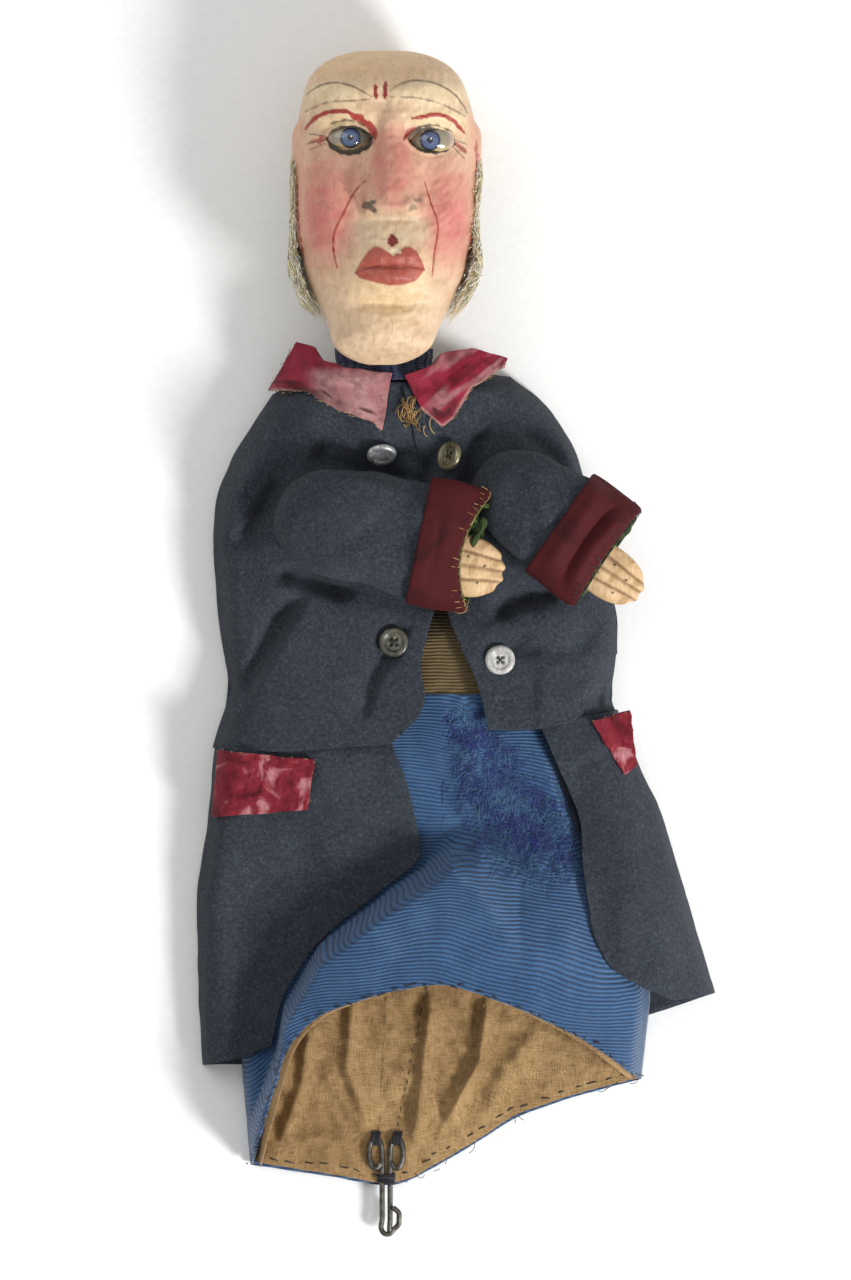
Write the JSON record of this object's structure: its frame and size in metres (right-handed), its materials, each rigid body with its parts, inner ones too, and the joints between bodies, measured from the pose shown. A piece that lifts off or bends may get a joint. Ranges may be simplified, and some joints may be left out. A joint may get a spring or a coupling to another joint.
{
  "type": "hand puppet",
  "caption": "Glove puppet with a painted wooden head, glass eyes and wooden hands on a lined cloth glove, in a felt coat with velvet trim, and a wire hanging hook at the hem.",
  "frame": {"origin": "on the flat back of the coat, at the waist, where the puppet lies on its back", "axes": "+Y from the waist to the crown of the head, +X to the puppet's own left side, +Z out of its chest"},
  "size_m": [0.26, 0.5993, 0.0933],
  "materials": {
    "painted_wood": "painted, satin, worn",
    "eye_glass": "glossy, blue-grey iris",
    "straw_hair": "matt straw-coloured fibre",
    "blue_satin": "dark blue, gathered",
    "crimson_velvet": "crushed velvet, worn pale on its folds",
    "burgundy_velvet": "short pile, dark",
    "coat_felt": "milled wool, matt slate blue",
    "blue_rep": "ribbed, slight sheen",
    "brown_rep": "ribbed, worn",
    "linen": "plain weave, matt",
    "green_print": "printed cotton",
    "pearl": "polished shell-like button",
    "bare_wood": "painted flesh, worn to the wood",
    "iron_wire": "drawn wire, dull grey",
    "black_thread": "waxed thread",
    "gold_thread": "frayed metallic thread"
  },
  "bodies": {
    "coat_and_glove": {"collar_left": "crimson_velvet", "collar_right": "crimson_velvet", "collar_gold_thread": "gold_thread", "coat_back": "coat_felt", "coat_front_left": "coat_felt", "coat_front_right": "coat_felt", "coat_skirt_back": "coat_felt", "coat_skirt_left": "coat_felt", "coat_skirt_right": "coat_felt", "button_upper_left": "pearl", "button_upper_right": "pearl", "button_lower_left": "pearl", "button_lower_right": "pearl", "pocket_flap_left": "crimson_velvet", "pocket_flap_right": "crimson_velvet", "glove_chest_front": "brown_rep", "glove_chest_back": "brown_rep", "glove_skirt_front": "blue_rep", "glove_skirt_back": "blue_rep", "lining_front": "linen", "lining_back": "linen", "hook_lashing_left": "black_thread", "hook_lashing_right": "black_thread"},
    "neck": {"neck_band": "blue_satin"},
    "head": {"head": "painted_wood", "eye_left": "eye_glass", "eye_right": "eye_glass", "hair_fringe": "straw_hair"},
    "shoulder_right": {"armhole_gusset_right": "coat_felt"},
    "arm_right": {"sleeve_right": "coat_felt", "cuff_right": "burgundy_velvet", "sleeve_lining_right": "green_print", "finger_stall_right": "brown_rep", "hand_right": "bare_wood"},
    "shoulder_left": {"armhole_gusset_left": "coat_felt"},
    "arm_left": {"sleeve_left": "coat_felt", "cuff_left": "burgundy_velvet", "sleeve_lining_left": "green_print", "finger_stall_left": "brown_rep", "hand_left": "bare_wood"},
    "hook": {"hanging_hook": "iron_wire"}
  },
  "joints": [
    {"name": "head_nod", "type": "hinge", "parent": "coat_and_glove", "child": "neck", "pos_m": [-0.008, 0.155, 0.0458], "axis": [1, 0, 0], "range_deg": [-8, 15]},
    {"name": "head_turn", "type": "hinge", "parent": "neck", "child": "head", "pos_m": [-0.008, 0.155, 0.0298], "axis": [0, 1, 0], "range_deg": [-40, 40]},
    {"name": "right_arm_swing", "type": "hinge", "parent": "coat_and_glove", "child": "shoulder_right", "pos_m": [-0.042, 0.084, 0.0346], "axis": [0, 0, 1], "range_deg": [-75, 0]},
    {"name": "right_arm_lift", "type": "hinge", "parent": "shoulder_right", "child": "arm_right", "pos_m": [-0.042, 0.084, 0.0416], "axis": [-0.2079, -0.9781, 0], "range_deg": [0, 45]},
    {"name": "left_arm_swing", "type": "hinge", "parent": "coat_and_glove", "child": "shoulder_left", "pos_m": [0.061, 0.096, 0.0346], "axis": [0, 0, 1], "range_deg": [0, 60]},
    {"name": "left_arm_lift", "type": "hinge", "parent": "shoulder_left", "child": "arm_left", "pos_m": [0.061, 0.096, 0.0416], "axis": [-0.5736, -0.8192, 0], "range_deg": [0, 45]},
    {"name": "hook_swing", "type": "hinge", "parent": "coat_and_glove", "child": "hook", "pos_m": [-0.007, -0.226, 0.0078], "axis": [-1, 0, 0], "range_deg": [0, 110]}
  ]
}
